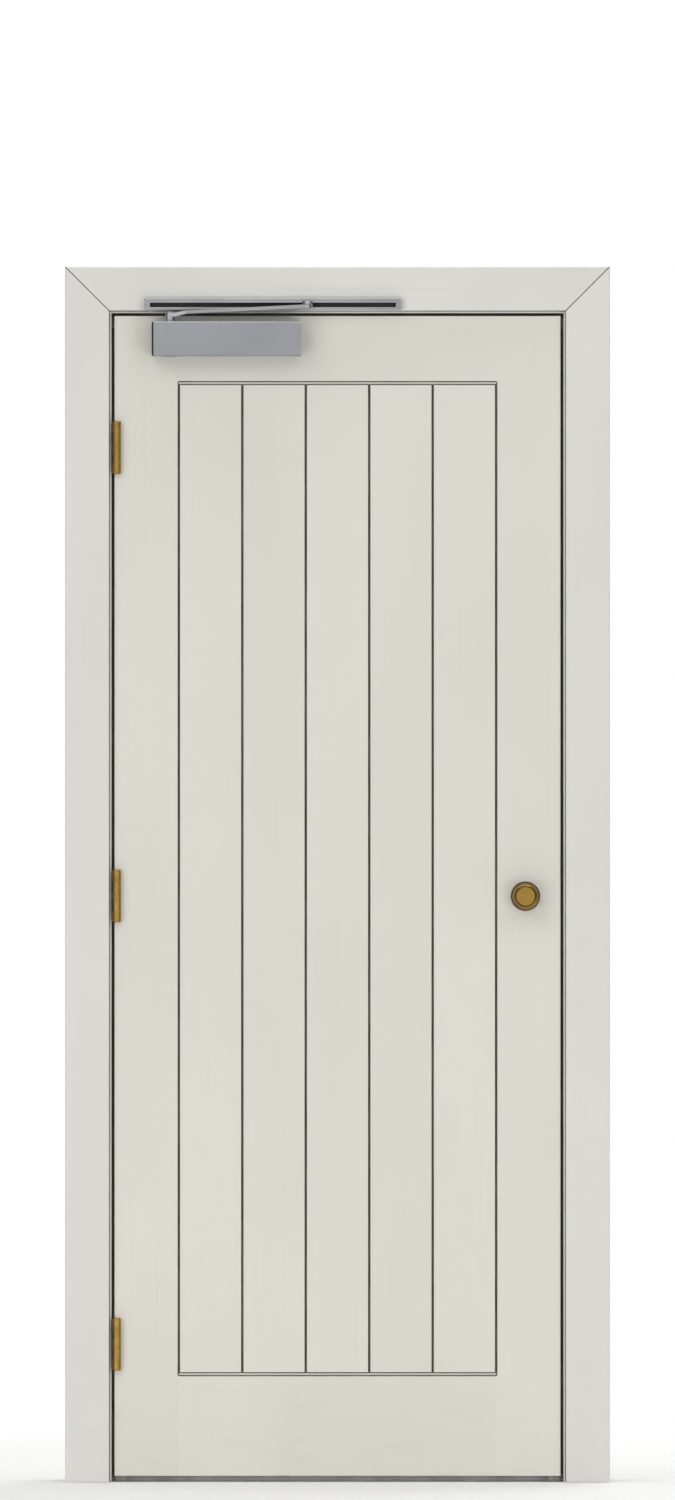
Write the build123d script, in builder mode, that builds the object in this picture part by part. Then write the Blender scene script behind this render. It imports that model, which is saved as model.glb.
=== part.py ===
"""Interior door: a boarded leaf hung on three butt hinges in a timber lining with mitred
architraves on both sides, a round knob working a latch bolt, and an overhead closer whose
arm runs in a track on the head architrave.

Millimetres. Z is up from the floor, X runs from the hinge side to the lock side, and -Y is
the pull side, towards which the leaf opens. The origin is on the wall-side face of the hinge
jamb, at floor level, in the middle of the lining's depth.
"""

import os

from build123d import *

os.makedirs("parts", exist_ok=True)

# ---------------------------------------------------------------- driving dimensions
leaf_w, leaf_h, leaf_t = 762.0, 1981.0, 44.0  # a standard 2 ft 6 in leaf
undercut = 10.0  # leaf's foot above the floor
gap = 5.0  # leaf to lining, all round
stop_gap = 5.2  # leaf to stop, so that the hinge edge's rear corner clears the stop by 5 as it swings
jamb_t, lining_d = 32.0, 132.0
stop_p, stop_d = 25.0, 45.0  # stop: projection from the lining, depth
arch_w, arch_t, arch_margin = 75.0, 15.0, 4.0  # architrave and the strip of lining it leaves showing
stile_w = 110.0
board_n = 5
groove_half, groove_deep = 2.3, 4.2  # V joint: half width, depth
rail_bevel = 6.0  # width of the rail's bevel down to the board ends
quirk, quirk_deep, quirk_in = 1.1, 1.9, 0.5  # V along the bevel's outer edge: half width, depth, step down to the bevel
top_board_z, bottom_board_z = 1873.0, 187.0
lead_bevel = 2.0  # lock edge taken back at its rear corner
arris = 1.2  # small rounding of long edges

hinge_z = (235.0, 1000.5, 1766.0)
barrel_r, hinge_h, cap_h = 7.0, 90.0, 3.0
plate_t, plate_d = 2.5, 30.0
plate_lip = 3.0  # jamb's plate stops this short of the lining's face
pin_r, pin_play, knuckle_gap = 3.0, 0.05, 0.4
axis_x, axis_off = 41.0, 7.5  # hinge axis: from the jamb's wall face, and in front of the leaf

backset, knob_z = 60.0, 1000.0
rose_r, rose_t = 25.0, 6.0
knob_r, knob_face_r, knob_out = 23.0, 17.0, 48.0
neck_r, neck_play = 9.0, 0.6
spindle_sq, spindle_bore = 8.0, 7.0

bolt_w, bolt_h, bolt_len, bolt_play = 12.0, 20.0, 30.0, 0.5
face_w, face_h, face_t = 22.0, 57.0, 3.0
strike_w, strike_h, strike_t = 22.0, 57.0, 2.5
pocket_w, pocket_h, pocket_d = 16.0, 28.0, 16.0

closer_w, closer_h, closer_d = 254.0, 59.0, 54.0
closer_left, closer_top = 101.0, 1981.0  # hinge-side end and top of the closer
cap_t = 3.0
spin_x, spin_out, spin_r = 132.0, 31.0, 8.5  # closer spindle: place, distance off the leaf, radius
track_x0, track_x1 = 87.5, 526.7
track_z0, track_h, track_d = 2001.0, 20.0, 12.0
slot_x0, slot_x1, slot_z0, slot_h, slot_deep = 98.0, 517.6, 2005.7, 7.7, 8.0
slider_x, slider_w, slider_z0, slider_z1 = 366.8, 17.1, 2003.8, 2015.8
arm_bar, arm_tip_r, arm_out = 12.0, 6.5, 11.0  # bar width, eye at the slider, tip in front of the track

# ---------------------------------------------------------------- derived places
front, back = -lining_d / 2, lining_d / 2  # faces of the lining; the leaf is flush in front
leaf_x0 = jamb_t + gap
leaf_x1 = leaf_x0 + leaf_w
leaf_z0, leaf_z1 = undercut, undercut + leaf_h
leaf_back = front + leaf_t
lock_x = leaf_x1 + gap  # lock jamb's face
outer_x = lock_x + jamb_t
head_z = leaf_z1 + gap
head_top = head_z + jamb_t
mid_x = outer_x / 2
stop_y0 = leaf_back + stop_gap
stop_y1 = stop_y0 + stop_d
stop_in_z = head_z - stop_p
arch_x0, arch_x1 = jamb_t - arch_margin, lock_x + arch_margin  # inner edges
arch_z = head_z + arch_margin
stile_in, stile_in2 = leaf_x0 + stile_w, leaf_x1 - stile_w
board_w = (stile_in2 - stile_in) / board_n
axis_y = front - axis_off
knob_x = leaf_x1 - backset
leaf_mid_y = (front + leaf_back) / 2
track_face = front - arch_t - track_d
spin_y = front - spin_out
tip_y = track_face - arm_out
closer_front = front - closer_d
edge_at_mid = leaf_x1 - lead_bevel / 2  # lock edge at the middle of the leaf's thickness

# ---------------------------------------------------------------- lining
with BuildPart() as hinge_jamb:
    with BuildSketch(Plane.XY):
        with Locations((jamb_t / 2, 0)):
            Rectangle(jamb_t, lining_d)
    extrude(amount=head_z)
    inner_arrises = hinge_jamb.edges().filter_by(Axis.Z).group_by(Axis.X)[-1]
    fillet(inner_arrises, radius=arris)
    for z in hinge_z:  # housings for the hinge plates
        with Locations((jamb_t - plate_t / 2, front + (plate_lip + plate_d) / 2, z)):
            Box(plate_t, plate_d - plate_lip, hinge_h - 2 * cap_h, mode=Mode.SUBTRACT)
hinge_jamb.part.label = "hinge_jamb"
export_step(hinge_jamb.part, "parts/hinge_jamb.step")

with BuildPart() as lock_jamb:
    with BuildSketch(Plane.XY):
        with Locations((lock_x + jamb_t / 2, 0)):
            Rectangle(jamb_t, lining_d)
    extrude(amount=head_z)
    inner_arrises = lock_jamb.edges().filter_by(Axis.Z).group_by(Axis.X)[0]
    fillet(inner_arrises, radius=arris)
    with Locations((lock_x + strike_t / 2, leaf_mid_y, knob_z)):  # housing for the strike
        Box(strike_t, strike_w, strike_h, mode=Mode.SUBTRACT)
    with Locations((lock_x + pocket_d / 2, leaf_mid_y, knob_z)):  # pocket for the bolt
        Box(pocket_d, pocket_w, pocket_h, mode=Mode.SUBTRACT)
lock_jamb.part.label = "lock_jamb"
export_step(lock_jamb.part, "parts/lock_jamb.step")

with BuildPart() as head_lining:
    with BuildSketch(Plane.XY.offset(head_z)):
        with Locations((mid_x, 0)):
            Rectangle(outer_x, lining_d)
    extrude(amount=jamb_t)
head_lining.part.label = "head_lining"
export_step(head_lining.part, "parts/head_lining.step")

# ---------------------------------------------------------------- stops and threshold
with BuildPart() as hinge_side_stop:
    with BuildSketch(Plane.XY):
        with Locations((jamb_t + stop_p / 2, (stop_y0 + stop_y1) / 2)):
            Rectangle(stop_p, stop_d)
    extrude(amount=stop_in_z)
    fillet(hinge_side_stop.edges().filter_by(Axis.Z).group_by(Axis.X)[-1], radius=arris)
hinge_side_stop.part.label = "hinge_side_stop"
export_step(hinge_side_stop.part, "parts/hinge_side_stop.step")

with BuildPart() as lock_side_stop:
    with BuildSketch(Plane.XY):
        with Locations((lock_x - stop_p / 2, (stop_y0 + stop_y1) / 2)):
            Rectangle(stop_p, stop_d)
    extrude(amount=stop_in_z)
    fillet(lock_side_stop.edges().filter_by(Axis.Z).group_by(Axis.X)[0], radius=arris)
lock_side_stop.part.label = "lock_side_stop"
export_step(lock_side_stop.part, "parts/lock_side_stop.step")

with BuildPart() as head_stop:
    with BuildSketch(Plane.XY.offset(stop_in_z)):
        with Locations((mid_x, (stop_y0 + stop_y1) / 2)):
            Rectangle(lock_x - jamb_t, stop_d)
    extrude(amount=stop_p)
head_stop.part.label = "head_stop"
export_step(head_stop.part, "parts/head_stop.step")

threshold_h, threshold_ease = 14.0, 5.0
with BuildPart() as threshold_strip:
    with BuildSketch(Plane.YZ.offset(jamb_t + stop_p)):
        with BuildLine():
            Polyline(
                (stop_y0, 0),
                (stop_y1, 0),
                (stop_y1, threshold_h - threshold_ease),
                (stop_y1 - 2 * threshold_ease, threshold_h),
                (stop_y0 + 2, threshold_h),
                (stop_y0, threshold_h - 2),
                close=True,
            )
        make_face()
    extrude(amount=lock_x - jamb_t - 2 * stop_p)
threshold_strip.part.label = "threshold_strip"
export_step(threshold_strip.part, "parts/threshold_strip.step")

# ---------------------------------------------------------------- architraves, mitred
arch_out_x0, arch_out_x1 = arch_x0 - arch_w, arch_x1 + arch_w
arch_top = arch_z + arch_w
arch_round = 2.0
mitre_v = 1.0  # half width and depth of the V along each mitre
mitre_len = arch_w * 2**0.5
for side, wall_y in (("front", front), ("back", back)):
    # the boards grow away from the lining: towards -Y in front and +Y at the back
    face = Plane.XZ.offset(-wall_y)
    grow = arch_t if side == "front" else -arch_t
    show = 0 if side == "front" else -1  # index of the face that shows, sorted along Y
    into = Vector(0, 1 if side == "front" else -1, 0)
    mitres = []  # planes across the two mitres, each from its inner corner on the face that shows
    for x, lean in ((arch_x0, -1), (arch_x1, 1)):
        run = Vector(lean, 0, 1).normalized()
        mitres.append(Plane(origin=(x, wall_y - into.Y * arch_t, arch_z), x_dir=into.cross(run), z_dir=run))

    with BuildPart() as hinge_leg:
        with BuildSketch(face):
            with BuildLine():
                Polyline(
                    (arch_out_x0, 0),
                    (arch_x0, 0),
                    (arch_x0, arch_z),
                    (arch_out_x0, arch_top),
                    close=True,
                )
            make_face()
        extrude(amount=grow)
        fillet(hinge_leg.edges().filter_by(Axis.Z).group_by(Axis.Y)[show], radius=arch_round)
        for mitre in mitres[:1]:
            with BuildSketch(mitre.offset(-4)):
                with BuildLine():
                    Polyline((-2 * mitre_v, -mitre_v), (2 * mitre_v, -mitre_v), (0, mitre_v), close=True)
                make_face()
            extrude(amount=mitre_len + 8, mode=Mode.SUBTRACT)
    hinge_leg.part.label = f"{side}_architrave_hinge_side"
    export_step(hinge_leg.part, f"parts/{side}_architrave_hinge_side.step")

    with BuildPart() as lock_leg:
        with BuildSketch(face):
            with BuildLine():
                Polyline(
                    (arch_x1, 0),
                    (arch_out_x1, 0),
                    (arch_out_x1, arch_top),
                    (arch_x1, arch_z),
                    close=True,
                )
            make_face()
        extrude(amount=grow)
        fillet(lock_leg.edges().filter_by(Axis.Z).group_by(Axis.Y)[show], radius=arch_round)
        for mitre in mitres[1:]:
            with BuildSketch(mitre.offset(-4)):
                with BuildLine():
                    Polyline((-2 * mitre_v, -mitre_v), (2 * mitre_v, -mitre_v), (0, mitre_v), close=True)
                make_face()
            extrude(amount=mitre_len + 8, mode=Mode.SUBTRACT)
    lock_leg.part.label = f"{side}_architrave_lock_side"
    export_step(lock_leg.part, f"parts/{side}_architrave_lock_side.step")

    with BuildPart() as head_leg:
        with BuildSketch(face):
            with BuildLine():
                Polyline(
                    (arch_x0, arch_z),
                    (arch_x1, arch_z),
                    (arch_out_x1, arch_top),
                    (arch_out_x0, arch_top),
                    close=True,
                )
            make_face()
        extrude(amount=grow)
        fillet(head_leg.edges().filter_by(Axis.X).group_by(Axis.Y)[show], radius=arch_round)
        for mitre in mitres:
            with BuildSketch(mitre.offset(-4)):
                with BuildLine():
                    Polyline((-2 * mitre_v, -mitre_v), (2 * mitre_v, -mitre_v), (0, mitre_v), close=True)
                make_face()
            extrude(amount=mitre_len + 8, mode=Mode.SUBTRACT)
    head_leg.part.label = f"{side}_architrave_head"
    export_step(head_leg.part, f"parts/{side}_architrave_head.step")

# ---------------------------------------------------------------- leaf: stiles and rails
rail_top_z = top_board_z + rail_bevel  # where the top rail's face ends
rail_low_z = bottom_board_z - rail_bevel

with BuildPart() as hinge_stile:
    with BuildSketch(Plane.XY.offset(leaf_z0)):
        with Locations((leaf_x0 + stile_w / 2, leaf_mid_y)):
            Rectangle(stile_w, leaf_t)
    extrude(amount=leaf_h)
    fillet(hinge_stile.edges().filter_by(Axis.Z).group_by(Axis.X)[0], radius=arris)
    for z in hinge_z:
        with Locations((leaf_x0 + plate_t / 2, front + plate_d / 2, z)):
            Box(plate_t, plate_d, hinge_h - 2 * cap_h, mode=Mode.SUBTRACT)
    # V joint's half on both faces, between the rails
    with BuildSketch(Plane.XY.offset(rail_low_z)):
        with BuildLine():
            Polyline(
                (stile_in - groove_half, front),
                (stile_in, front),
                (stile_in, front + groove_deep),
                close=True,
            )
        make_face()
        with BuildLine():
            Polyline(
                (stile_in - groove_half, leaf_back),
                (stile_in, leaf_back),
                (stile_in, leaf_back - groove_deep),
                close=True,
            )
        make_face()
    extrude(amount=rail_top_z - rail_low_z, mode=Mode.SUBTRACT)
hinge_stile.part.label = "hinge_stile"
export_step(hinge_stile.part, "parts/hinge_stile.step")

# frame of the lock edge, which leans back from the front corner to the rear one
edge_frame = Plane(
    origin=(edge_at_mid, leaf_mid_y, knob_z),
    x_dir=(-lead_bevel, leaf_t, 0),
    z_dir=(leaf_t, lead_bevel, 0),
)

with BuildPart() as lock_stile:
    with BuildSketch(Plane.XY.offset(leaf_z0)):
        with BuildLine():
            Polyline(
                (stile_in2, front),
                (leaf_x1, front),
                (leaf_x1 - lead_bevel, leaf_back),
                (stile_in2, leaf_back),
                close=True,
            )
        make_face()
    extrude(amount=leaf_h)
    fillet(lock_stile.edges().filter_by(Axis.Z).sort_by(Axis.X)[-2:], radius=arris)
    # V joint's half on both faces, between the rails
    with BuildSketch(Plane.XY.offset(rail_low_z)):
        with BuildLine():
            Polyline(
                (stile_in2 + groove_half, front),
                (stile_in2, front),
                (stile_in2, front + groove_deep),
                close=True,
            )
        make_face()
        with BuildLine():
            Polyline(
                (stile_in2 + groove_half, leaf_back),
                (stile_in2, leaf_back),
                (stile_in2, leaf_back - groove_deep),
                close=True,
            )
        make_face()
    extrude(amount=rail_top_z - rail_low_z, mode=Mode.SUBTRACT)
    # bore for the knob's spindle
    with BuildSketch(Plane.XZ.offset(-leaf_back)):
        with Locations((knob_x, knob_z)):
            Circle(spindle_bore)
    extrude(amount=leaf_t, mode=Mode.SUBTRACT)
    # mortice for the bolt and housing for its faceplate
    with BuildSketch(Plane.YZ.offset(edge_at_mid - bolt_len - 4)):
        with Locations((leaf_mid_y, knob_z)):
            Rectangle(bolt_w + 2 * bolt_play, bolt_h + 2 * bolt_play)
    extrude(amount=bolt_len + 10, mode=Mode.SUBTRACT)
    with BuildSketch(edge_frame.offset(-face_t)):
        Rectangle(face_w, face_h)
    extrude(amount=face_t + 3, mode=Mode.SUBTRACT)
lock_stile.part.label = "lock_stile"
export_step(lock_stile.part, "parts/lock_stile.step")

with BuildPart() as top_rail:
    with BuildSketch(Plane.YZ.offset(stile_in)):
        with BuildLine():
            Polyline(
                (front, rail_top_z + quirk),
                (front + quirk_deep, rail_top_z),
                (front + quirk_in, rail_top_z - quirk),
                (front + groove_deep, top_board_z),
                (leaf_back - groove_deep, top_board_z),
                (leaf_back - quirk_in, rail_top_z - quirk),
                (leaf_back - quirk_deep, rail_top_z),
                (leaf_back, rail_top_z + quirk),
                (leaf_back, leaf_z1),
                (front, leaf_z1),
                close=True,
            )
        make_face()
    extrude(amount=stile_in2 - stile_in)
top_rail.part.label = "top_rail"
export_step(top_rail.part, "parts/top_rail.step")

with BuildPart() as bottom_rail:
    with BuildSketch(Plane.YZ.offset(stile_in)):
        with BuildLine():
            Polyline(
                (front, leaf_z0),
                (leaf_back, leaf_z0),
                (leaf_back, rail_low_z - quirk),
                (leaf_back - quirk_deep, rail_low_z),
                (leaf_back - quirk_in, rail_low_z + quirk),
                (leaf_back - groove_deep, bottom_board_z),
                (front + groove_deep, bottom_board_z),
                (front + quirk_in, rail_low_z + quirk),
                (front + quirk_deep, rail_low_z),
                (front, rail_low_z - quirk),
                close=True,
            )
        make_face()
    extrude(amount=stile_in2 - stile_in)
bottom_rail.part.label = "bottom_rail"
export_step(bottom_rail.part, "parts/bottom_rail.step")

# ---------------------------------------------------------------- leaf: V-jointed boards
for i in range(board_n):
    x0 = stile_in + i * board_w
    x1 = x0 + board_w
    with BuildPart() as panel_board:
        with BuildSketch(Plane.XY.offset(bottom_board_z)):
            with BuildLine():
                Polyline(
                    (x0 + groove_half, front),
                    (x1 - groove_half, front),
                    (x1, front + groove_deep),
                    (x1, leaf_back - groove_deep),
                    (x1 - groove_half, leaf_back),
                    (x0 + groove_half, leaf_back),
                    (x0, leaf_back - groove_deep),
                    (x0, front + groove_deep),
                    close=True,
                )
            make_face()
        extrude(amount=top_board_z - bottom_board_z)
    panel_board.part.label = f"panel_board_{i + 1}"
    export_step(panel_board.part, f"parts/panel_board_{i + 1}.step")

# ---------------------------------------------------------------- hinges
# Five knuckles each: the first, third and fifth on the jamb's plate, the others on the leaf's.
knuckles_h = hinge_h - 2 * cap_h
knuckle_h = knuckles_h / 5
for hinge_name, z in zip(("lower", "middle", "upper"), hinge_z):
    low = z - knuckles_h / 2

    with BuildPart() as frame_plate:
        with BuildSketch(Plane.XY.offset(low)):
            with Locations((jamb_t - plate_t / 2, front + (plate_lip + plate_d) / 2)):
                Rectangle(plate_t, plate_d - plate_lip)
        extrude(amount=knuckles_h)
        for n in (0, 2, 4):
            z0 = low + n * knuckle_h + (knuckle_gap / 2 if n else 0)
            z1 = low + (n + 1) * knuckle_h - (knuckle_gap / 2 if n < 4 else 0)
            with BuildSketch(Plane.XY.offset(z0)):
                with BuildLine():
                    Polyline(  # from the plate's front edge out through the gap to the barrel
                        (jamb_t - plate_t / 2, front + plate_lip),
                        (jamb_t, front + plate_lip),
                        (jamb_t + 0.3, front),
                        (axis_x - barrel_r, axis_y),
                        (axis_x, axis_y),
                        (axis_x - 0.7 * barrel_r, axis_y + 0.7 * barrel_r),
                        (jamb_t, front + plate_lip + 6),
                        (jamb_t - plate_t / 2, front + plate_lip + 6),
                        close=True,
                    )
                make_face()
                with Locations((axis_x, axis_y)):
                    Circle(barrel_r)
                    Circle(pin_r, mode=Mode.SUBTRACT)
            extrude(amount=z1 - z0)
    frame_plate.part.label = f"{hinge_name}_hinge_frame_leaf"
    export_step(frame_plate.part, f"parts/{hinge_name}_hinge_frame_leaf.step")

    with BuildPart() as door_plate:
        with BuildSketch(Plane.XY.offset(low)):
            with Locations((leaf_x0 + plate_t / 2, front + plate_d / 2)):
                Rectangle(plate_t, plate_d)
        extrude(amount=knuckles_h)
        for n in (1, 3):
            z0 = low + n * knuckle_h + knuckle_gap / 2
            z1 = low + (n + 1) * knuckle_h - knuckle_gap / 2
            with BuildSketch(Plane.XY.offset(z0)):
                with BuildLine():
                    Polyline(
                        (leaf_x0, front),
                        (leaf_x0 + plate_t, front),
                        (leaf_x0 + plate_t, axis_y),
                        (leaf_x0, axis_y),
                        close=True,
                    )
                make_face()
                with Locations((axis_x, axis_y)):
                    Circle(barrel_r)
                    Circle(pin_r + pin_play, mode=Mode.SUBTRACT)
            extrude(amount=z1 - z0)
    door_plate.part.label = f"{hinge_name}_hinge_door_leaf"
    export_step(door_plate.part, f"parts/{hinge_name}_hinge_door_leaf.step")

with BuildPart() as hinge_pins:
    for z in hinge_z:
        low = z - hinge_h / 2
        with BuildSketch(Plane.XY.offset(low)):
            with Locations((axis_x, axis_y)):
                Circle(barrel_r)
        extrude(amount=cap_h)
        with BuildSketch(Plane.XY.offset(low + cap_h)):
            with Locations((axis_x, axis_y)):
                Circle(pin_r)
        extrude(amount=knuckles_h)
        with BuildSketch(Plane.XY.offset(low + cap_h + knuckles_h)):
            with Locations((axis_x, axis_y)):
                Circle(barrel_r)
        extrude(amount=cap_h)
    rims = hinge_pins.edges().filter_by(GeomType.CIRCLE)
    outer = [e for z in hinge_z for e in rims if abs(abs(e.center().Z - z) - hinge_h / 2) < 0.01]
    chamfer(outer, length=1.0)
hinge_pins.part.label = "hinge_pins"
export_step(hinge_pins.part, "parts/hinge_pins.step")

# ---------------------------------------------------------------- roses, knobs and spindle
knob_axis = Axis((knob_x, 0, knob_z), (0, 1, 0))
knob_plane = Plane(origin=(knob_x, 0, knob_z), x_dir=(1, 0, 0), z_dir=(0, 0, 1))
for side, wall_y, out in (("front", front, -1), ("back", leaf_back, 1)):
    with BuildPart() as rose:
        with BuildSketch(knob_plane):
            with BuildLine():
                Polyline(
                    (neck_r + neck_play, wall_y),
                    (rose_r, wall_y),
                    (rose_r, wall_y + out * (rose_t - 2.2)),
                    (rose_r - 1.6, wall_y + out * rose_t),
                    (neck_r + neck_play, wall_y + out * rose_t),
                    close=True,
                )
            make_face()
        revolve(axis=knob_axis)
    rose.part.label = f"{side}_rose"
    export_step(rose.part, f"parts/{side}_rose.step")

    with BuildPart() as knob:
        with BuildSketch(knob_plane):
            with BuildLine():
                Polyline(
                    (0, wall_y + out * 0.5),
                    (neck_r, wall_y + out * 0.5),
                    (neck_r, wall_y + out * 14),
                )
                ThreePointArc(
                    (neck_r, wall_y + out * 14),
                    (12.4, wall_y + out * 23.0),
                    (knob_r - 1.5, wall_y + out * 29.0),
                )
                ThreePointArc(
                    (knob_r - 1.5, wall_y + out * 29.0),
                    (knob_r, wall_y + out * 32.5),
                    (knob_r - 0.6, wall_y + out * 37.0),
                )
                ThreePointArc(
                    (knob_r - 0.6, wall_y + out * 37.0),
                    (20.9, wall_y + out * 43.6),
                    (knob_face_r, wall_y + out * knob_out),
                )
                Polyline(
                    (knob_face_r, wall_y + out * knob_out),
                    (knob_face_r - 0.8, wall_y + out * (knob_out - 0.8)),
                    (0, wall_y + out * (knob_out - 0.8)),
                    (0, wall_y + out * 0.5),
                )
            make_face()
        revolve(axis=knob_axis)
    knob.part.label = f"{side}_knob"
    export_step(knob.part, f"parts/{side}_knob.step")

with BuildPart() as knob_spindle:
    with BuildSketch(Plane.XZ.offset(-(leaf_back + 0.5))):
        with Locations((knob_x, knob_z)):
            Rectangle(spindle_sq, spindle_sq)
    extrude(amount=leaf_t + 1.0)
knob_spindle.part.label = "knob_spindle"
export_step(knob_spindle.part, "parts/knob_spindle.step")

# ---------------------------------------------------------------- latch and strike
with BuildPart() as latch_faceplate:
    with BuildSketch(edge_frame.offset(-face_t)):
        Rectangle(face_w, face_h)
        Rectangle(bolt_w + 2 * bolt_play, bolt_h + 2 * bolt_play, mode=Mode.SUBTRACT)
    extrude(amount=face_t)
latch_faceplate.part.label = "latch_faceplate"
export_step(latch_faceplate.part, "parts/latch_faceplate.step")

bolt_x1 = edge_at_mid - 0.4  # nose, drawn in flush with the faceplate
with BuildPart() as latch_bolt:
    with BuildSketch(Plane.XY.offset(knob_z - bolt_h / 2)):
        with BuildLine():
            Polyline(
                (bolt_x1 - bolt_len, leaf_mid_y - bolt_w / 2),
                (bolt_x1, leaf_mid_y - bolt_w / 2),
                (bolt_x1, leaf_mid_y - bolt_w / 2 + 2),
                (bolt_x1 - 9, leaf_mid_y + bolt_w / 2),
                (bolt_x1 - bolt_len, leaf_mid_y + bolt_w / 2),
                close=True,
            )
        make_face()
    extrude(amount=bolt_h)
latch_bolt.part.label = "latch_bolt"
export_step(latch_bolt.part, "parts/latch_bolt.step")

with BuildPart() as strike_plate:
    with BuildSketch(Plane.YZ.offset(lock_x)):
        with Locations((leaf_mid_y, knob_z)):
            Rectangle(strike_w, strike_h)
            Rectangle(pocket_w, pocket_h, mode=Mode.SUBTRACT)
    extrude(amount=strike_t)
strike_plate.part.label = "strike_plate"
export_step(strike_plate.part, "parts/strike_plate.step")

# ---------------------------------------------------------------- closer
closer_right = closer_left + closer_w
with BuildPart() as closer_body:
    with BuildSketch(Plane.YZ.offset(closer_left + cap_t)):
        with Locations(((front + closer_front) / 2, closer_top - closer_h / 2)):
            Rectangle(closer_d, closer_h)
    extrude(amount=closer_w - cap_t)
    fillet(closer_body.edges().filter_by(Axis.X).group_by(Axis.Y)[0], radius=3.0)
closer_body.part.label = "closer_body"
export_step(closer_body.part, "parts/closer_body.step")

with BuildPart() as closer_end_cap:
    with BuildSketch(Plane.YZ.offset(closer_left)):
        with Locations(((front + closer_front) / 2, closer_top - closer_h / 2)):
            Rectangle(closer_d, closer_h)
    extrude(amount=cap_t)
    fillet(closer_end_cap.edges().filter_by(Axis.X).group_by(Axis.Y)[0], radius=3.0)
    chamfer(closer_end_cap.faces().sort_by(Axis.X)[0].edges(), length=2.0)
closer_end_cap.part.label = "closer_end_cap"
export_step(closer_end_cap.part, "parts/closer_end_cap.step")

eye_z0, eye_z1 = 1989.5, 1996.0
with BuildPart() as closer_spindle:
    with BuildSketch(Plane.XY.offset(closer_top + 0.3)):
        with Locations((spin_x, spin_y)):
            Circle(spin_r)
    extrude(amount=eye_z0 - closer_top - 0.3)
closer_spindle.part.label = "closer_spindle"
export_step(closer_spindle.part, "parts/closer_spindle.step")

# The arm's bar steps forward off the spindle's eye, then runs level with the track's face;
# in elevation it climbs from the eye, over the leaf's top edge, to the slider.
bend_x = spin_x + 27.0
tip_x = slider_x
with BuildPart() as closer_arm:
    with BuildSketch(Plane.XY.offset(eye_z0 - 5)):
        with BuildLine():
            Polyline(
                (spin_x, spin_y - spin_r),
                (bend_x, tip_y - arm_bar / 2),
                (tip_x, tip_y - arm_bar / 2),
                (tip_x, tip_y + arm_bar / 2),
                (bend_x, tip_y + arm_bar / 2),
                (spin_x, spin_y + 5.0),
                close=True,
            )
        make_face()
        with Locations((spin_x, spin_y)):
            Circle(spin_r)
        with Locations((tip_x, tip_y)):
            Circle(arm_tip_r)
    extrude(amount=40)
    with BuildSketch(Plane.XZ.offset(-front)):
        with BuildLine():
            Polyline(
                (spin_x - 12, eye_z0),
                (spin_x + 9, eye_z0),
                (bend_x, 1994.2),
                (tip_x - 8, 2004.0),
                (tip_x + 10, 2004.0),
                (tip_x + 10, 2009.9),
                (tip_x - 8, 2009.9),
                (bend_x, 1999.7),
                (spin_x + 9, eye_z1),
                (spin_x - 12, eye_z1),
                close=True,
            )
        make_face()
    extrude(amount=80, mode=Mode.INTERSECT)
closer_arm.part.label = "closer_arm"
export_step(closer_arm.part, "parts/closer_arm.step")

with BuildPart() as closer_track:
    with BuildSketch(Plane.XZ.offset(-(front - arch_t))):
        with Locations(((track_x0 + track_x1) / 2, track_z0 + track_h / 2)):
            Rectangle(track_x1 - track_x0, track_h)
    extrude(amount=track_d)
    fillet(closer_track.edges().filter_by(Axis.X).group_by(Axis.Y)[0], radius=1.0)
    with BuildSketch(Plane.XZ.offset(-track_face)):
        with Locations(((slot_x0 + slot_x1) / 2, slot_z0 + slot_h / 2)):
            Rectangle(slot_x1 - slot_x0, slot_h)
    extrude(amount=-slot_deep, mode=Mode.SUBTRACT)
closer_track.part.label = "closer_track"
export_step(closer_track.part, "parts/closer_track.step")

slide_play, plate_off, plate_y = 0.4, 0.4, 2.2
lug_z0 = 2010.7
with BuildPart() as closer_slider:
    with BuildSketch(Plane.XZ.offset(-(track_face + slot_deep - 1.0))):  # tongue in the slot
        with Locations((slider_x, slot_z0 + slot_h / 2)):
            Rectangle(slider_w, slot_h - 2 * slide_play)
    extrude(amount=slot_deep - 1.0 + plate_off + plate_y)
    with BuildSketch(Plane.XZ.offset(-(track_face - plate_off))):  # plate on the track's face
        with Locations((slider_x, (slider_z0 + slider_z1) / 2)):
            Rectangle(slider_w, slider_z1 - slider_z0)
    extrude(amount=plate_y)
    with BuildSketch(Plane.XY.offset(lug_z0)):  # lug out over the arm's eye
        with Locations((slider_x, (track_face - plate_off + tip_y) / 2)):
            Rectangle(slider_w, track_face - plate_off - tip_y)
        with Locations((slider_x, tip_y)):
            Circle(slider_w / 2)
    extrude(amount=slider_z1 - lug_z0)
closer_slider.part.label = "closer_slider"
export_step(closer_slider.part, "parts/closer_slider.step")
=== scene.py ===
import math

import bmesh
import bpy
from mathutils import Matrix, Vector


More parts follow.
